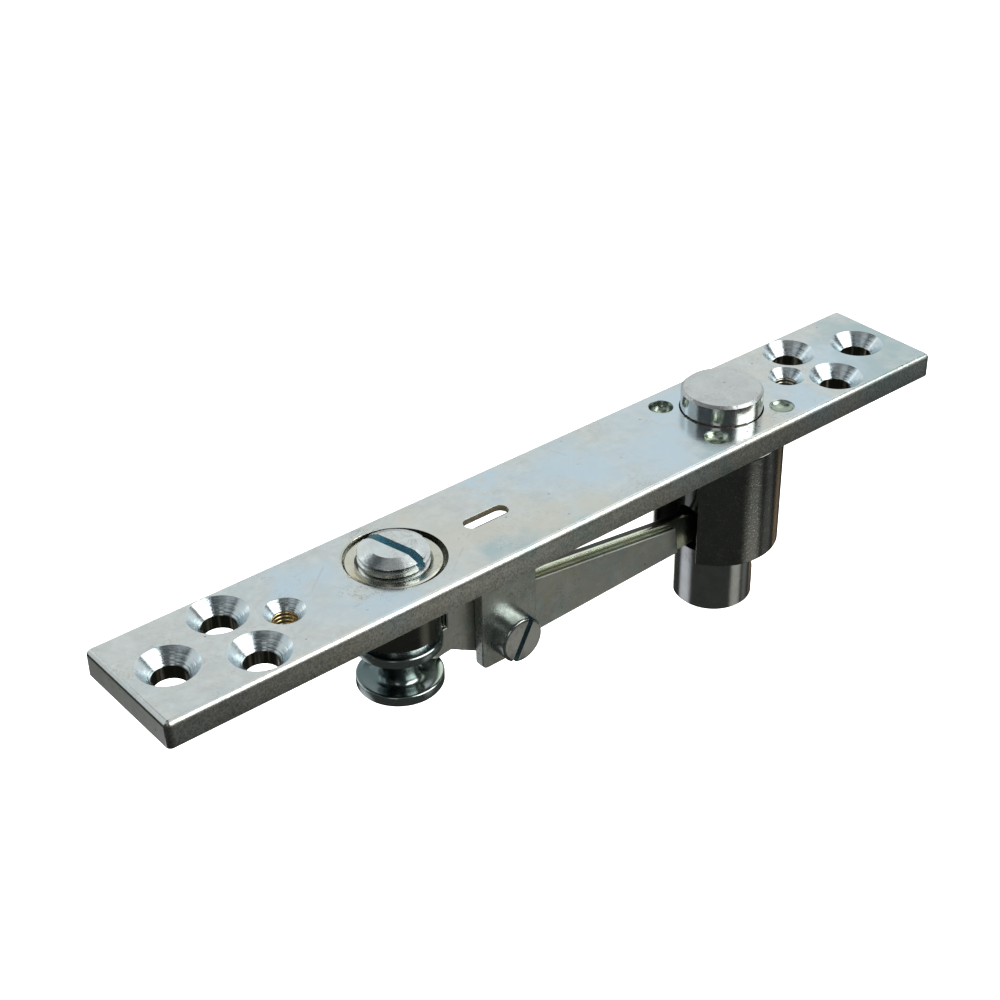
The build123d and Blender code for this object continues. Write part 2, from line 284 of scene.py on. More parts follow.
def makePassivation():
    # clear zinc passivation: drifting blue and straw patches, hair-like smudges, small dark specks
    tree, put, out = newGroup(
        "passivation",
        [("Vector", "Vector", None), ("Patch Scale", "Float", 55.0), ("Blue", "Float", 0.6),
         ("Straw", "Float", 0.5), ("Smudges", "Float", 0.5), ("Specks", "Float", 0.5)],
        [("Tint", "Color"), ("Dull", "Float")],
    )
    spot = put["Vector"]
    drift = noise(tree, spot, put["Patch Scale"], 4, 0.55, 0.8)
    second = noise(tree, moved(tree, spot, (0.31, 0.17, 0.05)), put["Patch Scale"], 4, 0.6, 1.2)
    blue = calc(tree, "MULTIPLY", ramp(tree, drift, 0.48, 0.66), put["Blue"])
    straw = calc(tree, "MULTIPLY", ramp(tree, second, 0.52, 0.68), put["Straw"])
    color = tint(tree, blue, (1, 1, 1), filmTones["blue"])
    color = tint(tree, straw, color, filmTones["straw"])
    grain = noise(tree, spot, 620, 3, 0.7, 0.3)
    cloud = noise(tree, moved(tree, spot, (0.2, 0.6, 0.1)), 230, 4, 0.6, 0.6)
    grainTone = calc(tree, "MULTIPLY", ramp(tree, grain, 0.3, 0.7, 0.94, 1.05),
                     ramp(tree, cloud, 0.35, 0.65, 0.94, 1.04))
    bent = noise(tree, spot, 430, 3, 0.6, 1.6)
    fold = calc(tree, "ABSOLUTE", calc(tree, "SUBTRACT", bent, 0.5))
    patch = ramp(tree, noise(tree, moved(tree, spot, (0.7, 0.1, 0.4)), 130, 3, 0.6), 0.50, 0.58)
    smudge = calc(tree, "MULTIPLY", ramp(tree, fold, 0.026, 0.008), patch)
    smudge = calc(tree, "MULTIPLY", smudge, put["Smudges"])
    color = tint(tree, smudge, color, filmTones["smudge"])
    cells = addNode(tree, "TexVoronoi", {"Vector": spot, "Scale": 700.0, "Randomness": 1.0})
    rare = addNode(tree, "SeparateColor", {0: cells.outputs["Color"]}).outputs[0]
    speck = calc(tree, "MULTIPLY", ramp(tree, cells.outputs["Distance"], 0.20, 0.10),
                 ramp(tree, rare, 0.90, 0.95))
    speck = calc(tree, "MULTIPLY", speck, put["Specks"])
    color = tint(tree, speck, color, filmTones["speck"])
    tree.links.new(scaled(tree, color, grainTone), out["Tint"])
    dull = calc(tree, "MULTIPLY", calc(tree, "SUBTRACT", grain, 0.5), 0.12)
    dull = calc(tree, "ADD", dull, calc(tree, "MULTIPLY", smudge, 0.25))
    tree.links.new(calc(tree, "ADD", dull, calc(tree, "MULTIPLY", straw, 0.05)), out["Dull"])
    return tree


def makeScratches():
    # fine straight scratches in three crossing directions
    tree, put, out = newGroup(
        "scratches", [("Vector", "Vector", None), ("Scale", "Float", 400.0), ("Amount", "Float", 0.5)],
        [("Mask", "Float")],
    )
    total = None
    for angle, shift in ((0.35, 0.0), (1.25, 0.4), (-0.65, 0.9)):
        angled = moved(tree, put["Vector"], (shift, shift / 2, 0), turn=(0, 0, angle))
        line = moved(tree, angled, scale=(0.03, 1.0, 1.0))
        streak = ramp(tree, noise(tree, line, put["Scale"], 1, 0.4), 0.71, 0.74)
        place = moved(tree, put["Vector"], (0, shift, shift))
        where = ramp(tree, noise(tree, place, calc(tree, "MULTIPLY", put["Scale"], 0.15), 2), 0.56, 0.6)
        streak = calc(tree, "MULTIPLY", streak, where)
        total = streak if total is None else calc(tree, "MAXIMUM", total, streak)
    tree.links.new(calc(tree, "MULTIPLY", total, put["Amount"]), out["Mask"])
    return tree


def makeTurned():
    # rings left by a tool: height over distance from the axis and along it
    tree, put, out = newGroup(
        "turned", [("Vector", "Vector", None), ("Radius", "Float", 0.0), ("Along", "Float", 0.0),
                   ("Pitch", "Float", 0.0003)],
        [("Height", "Float")],
    )
    across = addNode(tree, "CombineXYZ", {0: put["Radius"], 1: put["Along"], 2: 0.0}).outputs[0]
    often = calc(tree, "DIVIDE", 1.0, put["Pitch"])
    rings = noise(tree, scaled(tree, across, often), 1.0, 2, 0.6)
    wander = noise(tree, put["Vector"], 300, 1)
    tree.links.new(calc(tree, "ADD", rings, calc(tree, "MULTIPLY", wander, 0.3)), out["Height"])
    return tree


passivation = makePassivation()
scratches = makeScratches()
turned = makeTurned()
print("shader groups built")


def startMetal(name, metallic=1.0):
    mat = bpy.data.materials.new(name)
    mat.use_nodes = True
    tree = mat.node_tree
    bsdf = tree.nodes["Principled BSDF"]
    bsdf.inputs["Metallic"].default_value = metallic
    spot = addNode(tree, "TexCoord").outputs["Object"]
    return mat, tree, bsdf, spot


def addBump(tree, bsdf, height):
    normal = addNode(tree, "Bump", {"Height": height, "Distance": 1.0, "Strength": 1.0}).outputs[0]
    tree.links.new(normal, bsdf.inputs["Normal"])


def aroundAxis(tree, spot, axis, place):
    # centred coordinates, distance from the axis, place along it, and the way round it
    centred = moved(tree, spot, tuple(-v * mm for v in place))
    parts = addNode(tree, "SeparateXYZ", {0: centred}).outputs
    along = parts[2] if axis == "z" else parts[1]
    flat = moved(tree, centred, scale=(1, 1, 0) if axis == "z" else (1, 0, 1))
    radius = measure(tree, "LENGTH", flat)
    way = vectorCalc(tree, "CROSS_PRODUCT", (0, 0, 1) if axis == "z" else (0, 1, 0), flat)
    return centred, radius, along, way


def layAlong(tree, bsdf, way, amount):
    # highlights of a turned surface run across its grooves
    world = addNode(tree, "VectorTransform", {0: way}, vector_type="VECTOR", convert_from="OBJECT",
                    convert_to="WORLD").outputs[0]
    tree.links.new(world, bsdf.inputs["Tangent"])
    bsdf.inputs["Anisotropic"].default_value = amount
    bsdf.inputs["Anisotropic Rotation"].default_value = 0.25


# axes that the round pieces were turned about, in mm
pinAxis = (0, 0, 0)
screwAxis = (-74.45, 0, 0)
crossAxis = (-53.8, 0, -22.3)

# finish of each metal where it differs from the plain one; grain, rings and pitch are in metres,
# places, heights and radii in mm
plainFinish = {"blue": 0.2, "straw": 0.2, "smudges": 0.3, "specks": 0.5, "rings": 0, "lay": 0}
finishes = {
    "sleeveSteel": {"color": (0.30, 0.315, 0.30), "rough": 0.14, "straw": 0.3, "specks": 0.2,
                    "grain": 2.0e-5, "axis": "z", "place": pinAxis, "pitch": 0.00016,
                    "rings": 0.8e-5, "lay": 0.6, "flecks": 0.8},
    "pinSteel": {"color": (0.60, 0.615, 0.60), "rough": 0.15, "blue": 0.3, "smudges": 0.15,
                 "specks": 1.0, "grain": 1.2e-5, "axis": "z", "place": pinAxis, "pitch": 0.00025,
                 "rings": 1.0e-5, "lay": 0.6, "sleeveShade": (-6, -26)},
    "pinFace": {"color": (0.525, 0.55, 0.54), "rough": 0.3, "specks": 1.0, "grain": 3.0e-5,
                "axis": "z", "place": pinAxis, "pitch": 0.00032, "rings": 1.6e-5},
    "pinEdge": {"color": (0.42, 0.435, 0.43), "rough": 0.36, "blue": 0.3, "specks": 1.0,
                "grain": 9.0e-5, "flecks": 0.8},
    "bushSteel": {"color": (0.58, 0.58, 0.50), "rough": 0.2, "straw": 1.0, "smudges": 0.5,
                  "grain": 1.0e-5, "axis": "z", "place": screwAxis, "pitch": 0.0003, "rings": 2.4e-5,
                  "lay": 0.5, "darkBelow": -4.0},
    "screwSteel": {"color": (0.64, 0.68, 0.68), "rough": 0.24, "blue": 0.4, "straw": 0.3,
                   "specks": 0.4, "grain": 3.0e-5, "axis": "z", "place": screwAxis, "pitch": 0.00018,
                   "rings": 1.8e-5, "lay": 0.5, "grooveDark": (5.6, 1.95)},
    "screwFace": {"color": (0.62, 0.66, 0.65), "rough": 0.30, "smudges": 0.4, "specks": 0.4,
                  "grain": 1.2e-5, "axis": "z", "place": screwAxis, "pitch": 0.0003, "rings": 0.8e-5},
    "sawnSteel": {"color": (0.26, 0.46, 0.52), "rough": 0.25, "blue": 0.8, "straw": 0.0,
                  "smudges": 0.4, "specks": 0.2, "grain": 1.2e-5, "metallic": 0.85},
    # painted shade: a darker slot finish for the cross screw's saw slot
    "sawnSlotShade": {"color": (0.22, 0.33, 0.36), "rough": 0.25, "blue": 0.8, "straw": 0.0,
                 "smudges": 0.4, "specks": 0.2, "grain": 1.2e-5, "metallic": 0.95},
    "spoolSteel": {"color": (0.48, 0.56, 0.54), "rough": 0.20, "blue": 0.3, "straw": 0.3,
                   "smudges": 0.2, "specks": 0.3, "grain": 0.8e-5, "axis": "z", "place": screwAxis,
                   "pitch": 0.0002, "rings": 1.3e-5, "lay": 0.72,
                   "dishShade": {"side": 150, "fade": (-3.5, 3.0), "rim": (7.45, 7.2)}},
    "plugSteel": {"color": (0.34, 0.41, 0.34), "rough": 0.24, "straw": 0.4, "smudges": 0.4,
                  "specks": 0.2, "grain": 0.8e-5},
    "bracketSteel": {"color": (0.42, 0.46, 0.42), "rough": 0.28, "blue": 0.5, "straw": 0.6,
                     "smudges": 0.4, "specks": 1.0, "grain": 3.4e-5, "flecks": 0.35, "cloudy": 0.5,
                     "metallic": 0.97},
    "crossScrewSteel": {"color": (0.56, 0.60, 0.59), "rough": 0.18, "blue": 0.3, "smudges": 0.2,
                        "grain": 2.0e-5, "axis": "y", "place": crossAxis, "pitch": 0.0002,
                        "rings": 1.8e-5, "lay": 0.7},
    "crossScrewFace": {"color": (0.62, 0.64, 0.60), "rough": 0.34, "blue": 0.3, "smudges": 0.5,
                       "specks": 0.8, "grain": 2.0e-5, "axis": "y", "place": crossAxis,
                       "pitch": 0.0002, "rings": 1.2e-5, "metallic": 0.97},
    "leverSteel": {"color": (0.50, 0.525, 0.48), "rough": 0.32, "blue": 0.7, "straw": 0.8,
                   "smudges": 0.4, "specks": 1.0, "grain": 3.6e-5, "flecks": 0.25, "cloudy": 0.25,
                   "metallic": 0.96},
    # near black: the dark of sheared edges and painted shade on the lever's top edges and the blade's
    # nose
    "shearedAndShaded": {"color": (0.04, 0.045, 0.038), "rough": 0.30, "straw": 0.5, "grain": 4.0e-5},
    "punchedSteel": {"color": (0.24, 0.215, 0.155), "rough": 0.35, "blue": 0.0, "straw": 0.6,
                     "grain": 3.0e-5, "metallic": 0.55},
    "bladeSteel": {"color": (0.78, 0.84, 0.66), "rough": 0.18, "blue": 0.1, "straw": 0.6,
                   "specks": 0.6, "grain": 2.4e-5},
    # near black: a burr's own dark and painted shade of the gap round the pin
    "burrAndGapShade": {"color": (0.12, 0.10, 0.08), "rough": 0.45, "blue": 0.0, "straw": 0.8,
                  "smudges": 0.6, "specks": 0.6, "grain": 2.4e-5},
}
zincTones = {
    "scratch": (0.75, 0.77, 0.76),
    "fleck": (0.75, 0.76, 0.74),
    "cloud": (0.22, 0.245, 0.225),
    "grooveTone": (0.17, 0.155, 0.12),
    "underPlateShade": (0.13, 0.14, 0.12),
    "sleeveShade": (0.12, 0.13, 0.115),
    "dishShade": (0.07, 0.105, 0.11),
}


def addStains(tree, spot, finish, color):
    if "flecks" in finish:  # pale grains where the plating is thin
        fleck = ramp(tree, noise(tree, spot, 3200, 2, 0.6), 0.58, 0.70)
        color = tint(tree, calc(tree, "MULTIPLY", fleck, finish["flecks"]), color, zincTones["fleck"])
    if "cloudy" in finish:  # uneven plating on punched sheet
        cloud = ramp(tree, noise(tree, moved(tree, spot, (0.5, 0.3, 0.2)), 190, 4, 0.6, 0.8), 0.36, 0.62)
        color = tint(tree, calc(tree, "MULTIPLY", cloud, finish["cloudy"]), color, zincTones["cloud"])
    if "grooveDark" in finish:  # darker in the thread's grooves: below this radius and height
        deep, top = finish["grooveDark"]
        _, radius, along, _ = aroundAxis(tree, spot, finish["axis"], finish["place"])
        grooveTone = calc(tree, "MULTIPLY", ramp(tree, radius, deep * mm, (deep - 0.35) * mm),
                     ramp(tree, along, top * mm, (top - 0.15) * mm))
        color = tint(tree, calc(tree, "MULTIPLY", grooveTone, 0.75), color, zincTones["grooveTone"])
    if "darkBelow" in finish:  # painted shade under the plate: darker below this height
        low = ramp(tree, addNode(tree, "SeparateXYZ", {0: spot}).outputs[2], finish["darkBelow"] * mm,
                   (finish["darkBelow"] - 1) * mm)
        color = tint(tree, calc(tree, "MULTIPLY", low, 0.9), color, zincTones["underPlateShade"])
    if "sleeveShade" in finish:  # painted shade where the sleeve covers the pin, between these heights
        high, low = finish["sleeveShade"]
        along = addNode(tree, "SeparateXYZ", {0: spot}).outputs[2]
        coveredShade = calc(tree, "MULTIPLY", ramp(tree, along, high * mm, (high - 1) * mm),
                     ramp(tree, along, low * mm, (low + 1) * mm))
        color = tint(tree, calc(tree, "MULTIPLY", coveredShade, 0.85), color, zincTones["sleeveShade"])
    if "dishShade" in finish:  # painted shade: darker in the hollow, on this side of the axis
        centred, radius, _, _ = aroundAxis(tree, spot, finish["axis"], finish["place"])
        turn = math.radians(finish["dishShade"]["side"])
        side = measure(tree, "DOT_PRODUCT", centred, (math.cos(turn), math.sin(turn), 0))
        start, full = finish["dishShade"]["fade"]
        rim, inside = finish["dishShade"]["rim"]
        dishShade = calc(tree, "MULTIPLY", ramp(tree, side, start * mm, full * mm),
                   ramp(tree, radius, rim * mm, inside * mm))
        color = tint(tree, calc(tree, "MULTIPLY", dishShade, 0.9), color, zincTones["dishShade"])
    return color


def zincMetal(name, difference):
    finish = {**plainFinish, **difference}
    mat, tree, bsdf, spot = startMetal(name, finish.get("metallic", 1.0))
    film = useGroup(tree, passivation, {
        "Vector": spot, "Patch Scale": 120.0, "Blue": finish["blue"], "Straw": finish["straw"],
        "Smudges": finish["smudges"], "Specks": finish["specks"]})
    scratch = useGroup(tree, scratches, {"Vector": spot, "Scale": 900.0, "Amount": 0.5})["Mask"]
    color = tint(tree, 1.0, film["Tint"], finish["color"], "MULTIPLY")
    color = tint(tree, calc(tree, "MULTIPLY", scratch, 0.5), color, zincTones["scratch"])
    color = addStains(tree, spot, finish, color)
    tree.links.new(color, bsdf.inputs["Base Color"])
    tree.links.new(calc(tree, "ADD", film["Dull"], finish["rough"]), bsdf.inputs["Roughness"])
    grain = noise(tree, spot, 1500, 3, 0.6)
    height = calc(tree, "MULTIPLY", grain, finish["grain"])
    if finish["rings"]:
        centred, radius, along, way = aroundAxis(tree, spot, finish["axis"], finish["place"])
        if finish["lay"]:
            layAlong(tree, bsdf, way, finish["lay"])
        ring = useGroup(tree, turned, {"Vector": centred, "Radius": radius, "Along": along,
                                       "Pitch": finish["pitch"]})["Height"]
        height = calc(tree, "ADD", height, calc(tree, "MULTIPLY", ring, finish["rings"]))
    height = calc(tree, "SUBTRACT", height, calc(tree, "MULTIPLY", scratch, 0.4e-5))
    addBump(tree, bsdf, height)
    return mat


# the plate: rolled faces, countersinks cut into them, drilled bores; sizes in mm
plateLook = {
    "color": (0.585, 0.615, 0.597),
    "rough": 0.19,
    "halfWidth": 11.9,
    "middle": -40,
    "cornerFrom": 82.8,
    "cornerTo": 84.0,
    "sideLow": -4.6,
    "sideHigh": -2.2,
    "bigHoles": ((-116.6, 0), (-104.1, 6), (24.1, 6), (36.6, 0)),
    "smallHoles": ((-95.7, 0), (17.1, 0)),
    "bigBore": 2.86,
    "smallBore": 2.06,
    "mirroredBelow": -3,
    "threadPitch": 0.7,
    # handled, smudged places, stains of the film, and painted shade at the right end: each spot is x, y,
    # radius
    "handledSpots": ((-86, -5, 9), (-93, 6, 6), (-60, -10, 6), (-6, -9, 7), (6, -9, 6), (-28, -7, 6),
                     (-74, 9, 5)),
    "stains": {
        "blue": {"amount": 0.9, "tone": (0.52, 0.635, 0.70),
                 "spots": ((-90, 4, 9), (-84, -6, 9), (-34, 2, 13), (-18, -3, 14), (-5, 5, 12),
                           (14, -8, 8), (29, -3, 9), (-48, 7, 6))},
        # the first three dusky spots, at the plate's right end, are painted shade; the others are stains
        # of the film
        "duskyAndShade": {"amount": 0.8, "tone": (0.385, 0.50, 0.515),
                  "spots": ((40, 2, 12), (33, -11, 11), (42, -7, 9), (-56, -10, 6), (-46, -11, 6),
                            (-12, -11, 5))},
        "straw": {"amount": 0.6, "tone": (0.60, 0.58, 0.49),
                  "spots": ((-62, -2, 10), (-50, -6, 8), (-67, 8, 6), (-38, -9, 7), (2, -9, 6))},
    },
    "scratchTone": (0.42, 0.42, 0.40),
    "boreShadeTones": ((0.10, 0.10, 0.07), (0.80, 0.76, 0.62)),
    "threadTones": ((0.66, 0.54, 0.30), (0.44, 0.43, 0.36)),
    "sideTone": (1.03, 1.0, 0.95),
    "sinkColor": (0.60, 0.665, 0.68),
    "sinkRough": 0.23,
    "sinkLay": 0.6,
    # how far noise pushes the stains about, relief, and the cutter's rings: in metres
    "stainDrift": 0.022,
    "grainHeight": 1.0e-5,
    "pitHeight": 2.6e-5,
    "scratchDepth": 0.5e-5,
    "threadHeight": 9.0e-5,
    "sinkPitch": 0.00034,
    "sinkRings": 6.0e-5,
}


def nearestHole(tree, spot, holes):
    # distance from the nearest hole's axis and the way from it; the pairs are mirrored across the plate
    parts = addNode(tree, "SeparateXYZ", {0: spot}).outputs
    side = calc(tree, "ABSOLUTE", parts[1])
    nearest = None
    offset = None
    for holeX, holeY in holes:
        dx = calc(tree, "SUBTRACT", parts[0], holeX * mm)
        dy = calc(tree, "SUBTRACT", side if holeY else parts[1], holeY * mm)
        flat = addNode(tree, "CombineXYZ", {0: dx, 1: dy, 2: 0.0}).outputs[0]
        away = measure(tree, "LENGTH", flat)
        if nearest is None:
            nearest, offset = away, flat
            continue
        closer = calc(tree, "LESS_THAN", away, nearest)
        offset = addNode(tree, "Mix", {0: closer, 4: offset, 5: flat}, data_type="VECTOR").outputs[1]
        nearest = calc(tree, "MINIMUM", nearest, away)
    return nearest, offset, parts


def spotMask(tree, spot, places):
    total = None
    for x, y, radius in places:
        away = measure(tree, "DISTANCE", spot, (x * mm, y * mm, 0))
        mask = ramp(tree, away, radius * mm, radius * 0.25 * mm)
        total = mask if total is None else calc(tree, "MAXIMUM", total, mask)
    return total


def rolledToneAndShade(tree, spot, look, parts, rolled, color):
    # the rolled sides are speckled; painted shade makes them darker towards the bottom, a little lighter
    # near the top and much darker at the corners
    speckle = ramp(tree, noise(tree, spot, 2800, 3, 0.7), 0.36, 0.64, 0.68, 1.24)
    sideTone = fadeIn(tree, rolled, speckle)
    shadeDownSide = ramp(tree, parts[2], look["sideLow"] * mm, look["sideHigh"] * mm, 0.80, 1.06)
    sideTone = calc(tree, "MULTIPLY", sideTone, fadeIn(tree, rolled, shadeDownSide))
    endwards = calc(tree, "ABSOLUTE", calc(tree, "SUBTRACT", parts[0], look["middle"] * mm))
    nearEnd = ramp(tree, endwards, look["cornerFrom"] * mm, look["cornerTo"] * mm)
    cornerShade = calc(tree, "MULTIPLY", rolled, nearEnd)
    sideTone = calc(tree, "MULTIPLY", sideTone, ramp(tree, cornerShade, 0, 1, 1, 0.35))
    return tint(tree, rolled, scaled(tree, color, sideTone), look["sideTone"], "MULTIPLY")


def plateMetal(look):
    mat, tree, bsdf, spot = startMetal("plateSteel")
    big, _, parts = nearestHole(tree, spot, look["bigHoles"])
    small, _, _ = nearestHole(tree, spot, look["smallHoles"])
    bigBore = calc(tree, "LESS_THAN", big, look["bigBore"] * mm)
    smallBore = calc(tree, "LESS_THAN", small, look["smallBore"] * mm)
    side = calc(tree, "ABSOLUTE", parts[1])
    rolled = ramp(tree, side, (look["halfWidth"] - 0.8) * mm, (look["halfWidth"] - 0.1) * mm)
    handled = ramp(tree, spotMask(tree, spot, look["handledSpots"]), 0, 1, 0.18, 0.75)
    film = useGroup(tree, passivation, {"Vector": spot, "Patch Scale": 60.0, "Blue": 0.35, "Straw": 0.35,
                                        "Smudges": handled, "Specks": 0.8})
    scratch = useGroup(tree, scratches, {"Vector": spot, "Scale": 650.0, "Amount": 0.6})["Mask"]
    drift = addNode(tree, "TexNoise", {"Vector": spot, "Scale": 140.0, "Detail": 3.0}).outputs["Color"]
    drift = scaled(tree, vectorCalc(tree, "SUBTRACT", drift, (0.5, 0.5, 0.5)), look["stainDrift"])
    wavy = vectorCalc(tree, "ADD", spot, drift)
    color = tint(tree, 1.0, film["Tint"], look["color"], "MULTIPLY")
    for stain in look["stains"].values():
        mask = calc(tree, "MULTIPLY", spotMask(tree, wavy, stain["spots"]), stain["amount"])
        color = tint(tree, mask, color, stain["tone"])
    color = tint(tree, calc(tree, "MULTIPLY", scratch, 0.45), color, look["scratchTone"])
    # drilled bores: painted shade, dark with pale streaks down them; the threaded small ones golden and
    # grey
    upright = moved(tree, spot, scale=(1, 1, 0.04))
    streak = ramp(tree, noise(tree, upright, 700, 2, 0.6), 0.54, 0.62)
    boreShade = tint(tree, streak, *look["boreShadeTones"])
    color = tint(tree, bigBore, color, boreShade)
    farEnd = calc(tree, "GREATER_THAN", parts[0], look["middle"] * mm)
    color = tint(tree, smallBore, color, tint(tree, farEnd, *look["threadTones"]))
    color = rolledToneAndShade(tree, spot, look, parts, rolled, color)
    tree.links.new(color, bsdf.inputs["Base Color"])
    rough = calc(tree, "ADD", film["Dull"], look["rough"])
    rough = calc(tree, "ADD", rough, calc(tree, "MULTIPLY", rolled, 0.14))
    tree.links.new(rough, bsdf.inputs["Roughness"])
    grain = calc(tree, "MULTIPLY", noise(tree, spot, 900, 3, 0.65), look["grainHeight"])
    pits = noise(tree, spot, 1700, 4, 0.7, 0.4)
    skin = calc(tree, "MULTIPLY", calc(tree, "MULTIPLY", pits, look["pitHeight"]), rolled)
    height = calc(tree, "ADD", grain, skin)
    height = calc(tree, "SUBTRACT", height, calc(tree, "MULTIPLY", scratch, look["scratchDepth"]))
    turns = math.tau / (look["threadPitch"] * mm)
    thread = calc(tree, "SINE", calc(tree, "MULTIPLY", parts[2], turns))
    thread = calc(tree, "MULTIPLY", calc(tree, "MULTIPLY", thread, look["threadHeight"]), smallBore)
    addBump(tree, bsdf, calc(tree, "ADD", height, thread))
    return mat


def sinkMetal(look):
    # countersinks: bright rings of the cutter, highlights spread across them
    mat, tree, bsdf, spot = startMetal("sinkSteel")
    radius, offset, parts = nearestHole(tree, spot, look["bigHoles"] + look["smallHoles"])
    # the way from a mirrored hole runs the other way across the plate
    mirrored = calc(tree, "LESS_THAN", parts[1], look["mirroredBelow"] * mm)
    sign = ramp(tree, mirrored, 0, 1, 1, -1)
    turnY = addNode(tree, "CombineXYZ", {0: 1.0, 1: sign, 2: 1.0}).outputs[0]
    offset = vectorCalc(tree, "MULTIPLY", offset, turnY)
    layAlong(tree, bsdf, vectorCalc(tree, "CROSS_PRODUCT", (0, 0, 1), offset), look["sinkLay"])
    film = useGroup(tree, passivation, {"Vector": spot, "Patch Scale": 160.0, "Blue": 0.8, "Straw": 0.2,
                                        "Smudges": 0.1, "Specks": 0.3})
    color = tint(tree, 1.0, film["Tint"], look["sinkColor"], "MULTIPLY")
    tree.links.new(color, bsdf.inputs["Base Color"])
    tree.links.new(calc(tree, "ADD", film["Dull"], look["sinkRough"]), bsdf.inputs["Roughness"])
    ring = useGroup(tree, turned, {"Vector": spot, "Radius": radius, "Along": parts[2],
                                   "Pitch": look["sinkPitch"]})["Height"]
    addBump(tree, bsdf, calc(tree, "MULTIPLY", ring, look["sinkRings"]))
    return mat


materials = {name: zincMetal(name, finish) for name, finish in finishes.items()}
materials["plateSteel"] = plateMetal(plateLook)
materials["sinkSteel"] = sinkMetal(plateLook)
print("materials built:", len(materials))


# which record slot goes with which material
slots = {
    "face_plate": ("plate_steel", "plateSteel"),
    "sleeve_plugs": ("plug_steel", "plugSteel"),
    "guide_sleeve": ("sleeve_steel", "sleeveSteel"),
    "pivot_pin": ("pin_steel", "pinSteel"),
    "threaded_bush": ("bush_steel", "bushSteel"),
    "adjusting_screw": ("screw_steel", "screwSteel"),
    "adjuster_spool": ("spool_steel", "spoolSteel"),
    "pivot_bracket": ("bracket_steel", "bracketSteel"),
    "lever_pivot_screw": ("cross_screw_steel", "crossScrewSteel"),
    "pivot_screw_nut": ("cross_screw_steel", "crossScrewSteel"),
    "lever_bush": ("cross_screw_steel", "crossScrewSteel"),
    "lever_blade": ("lever_steel", "bladeSteel"),
    "lever_cheek_front": ("lever_steel", "leverSteel"),
    "lever_cheek_rear": ("lever_steel", "leverSteel"),
}
bodyOf = {n: body for body, members in frame["record"]["behaviour"]["bodies"].items() for n in members}


def addObject(bm, name):
    bmesh.ops.recalc_face_normals(bm, faces=bm.faces)
    mesh = bpy.data.meshes.new(name)
    for face in bm.faces:
        face.smooth = True
    bm.to_mesh(mesh)
    bm.free()
    piece = bpy.data.objects.new(name, mesh)
    scene.collection.objects.link(piece)
    return piece


def finishPiece(piece, node, breakWidth, breakAngle=28, edgeMaterial=0):
    # broken or plain sharp edges, flat faces kept flat; edgeMaterial is the broken edges' finish
    if breakWidth:
        bevel = piece.modifiers.new("brokenEdge", "BEVEL")
        bevel.width = breakWidth * mm
        bevel.segments = 2
        bevel.limit_method = "ANGLE"
        bevel.angle_limit = math.radians(breakAngle)
        bevel.material = edgeMaterial
    else:
        piece.data.set_sharp_from_angle(angle=math.radians(breakAngle))
    even = piece.modifiers.new("evenFaces", "WEIGHTED_NORMAL")
    even.weight = 100
    even.keep_sharp = True
    slot, material = slots[node]
    if not piece.data.materials:
        piece.data.materials.append(materials[material])
    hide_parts(node)
    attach(piece, bodyOf[node])


def faceOff(piece, material, chosen):
    # a second finish on the chosen faces
    first = slots[piece["node"]][1]
    for name in (first, material):
        if materials[name].name not in piece.data.materials:
            piece.data.materials.append(materials[name])
    index = piece.data.materials.find(materials[material].name)
    for face in piece.data.polygons:
        if chosen(face):
            face.material_index = index


def nodeCopy(node):
    bm = bmesh.new()
    bm.from_mesh(nodes[node].data)
    bmesh.ops.remove_doubles(bm, verts=bm.verts, dist=1e-6)
    bmesh.ops.dissolve_limit(bm, angle_limit=math.radians(0.4), verts=bm.verts, edges=bm.edges)
    return bm


def lathe(profile, steps=96):
    # closed body of revolution about Z from a half section in mm
    bm = bmesh.new()
    line = [bm.verts.new((r * mm, 0, z * mm)) for r, z in profile]
    edges = [bm.edges.new(pair) for pair in zip(line, line[1:])]
    if profile[0][0] > 0:
        edges.append(bm.edges.new((line[-1], line[0])))
    bmesh.ops.spin(bm, geom=line + edges, cent=(0, 0, 0), axis=(0, 0, 1), dvec=(0, 0, 0),
                   angle=math.tau, steps=steps, use_merge=True, use_duplicate=False)
    bmesh.ops.remove_doubles(bm, verts=bm.verts, dist=1e-7)
    return bm


def cutAway(piece, bm):
    # takes the shape in bm out of the piece
    tool = addObject(bm, piece.name + "Cutter")
    cut = piece.modifiers.new("cut", "BOOLEAN")
    cut.object = tool
    cut.solver = "EXACT"
    cut.operation = "DIFFERENCE"
    graph = bpy.context.evaluated_depsgraph_get()
    mesh = bpy.data.meshes.new_from_object(piece.evaluated_get(graph))
    piece.modifiers.clear()
    piece.data = mesh
    bpy.data.objects.remove(tool)


def slotTool(length, width, depth, turn, place):
    # a box for saw slots and pockets, centred at place and turned about Z
    bm = bmesh.new()
    bmesh.ops.create_cube(bm, size=1.0)
    bmesh.ops.scale(bm, vec=(length * mm, width * mm, depth * mm), verts=bm.verts)
    rotation = Matrix.Rotation(math.radians(turn), 3, "Z")
    bmesh.ops.rotate(bm, cent=(0, 0, 0), matrix=rotation, verts=bm.verts)
    bmesh.ops.translate(bm, vec=Vector(place) * mm, verts=bm.verts)
    return bm


# pieces made from their CAD mesh: edge is the width of the broken edge in mm
def addPlainPiece(node, part, bm):
    piece = addObject(bm, part["name"])
    piece["node"] = node
    return piece


def addBroken(piece, part):
    finishPiece(piece, piece["node"], part["edge"], edgeMaterial=part.get("edgeMaterial", 0))


guideSleeve = {"name": "guideSleeve", "edge": 0.22, "rim": 0.55, "rimFrom": -4.72, "rimRadius": 11.6}


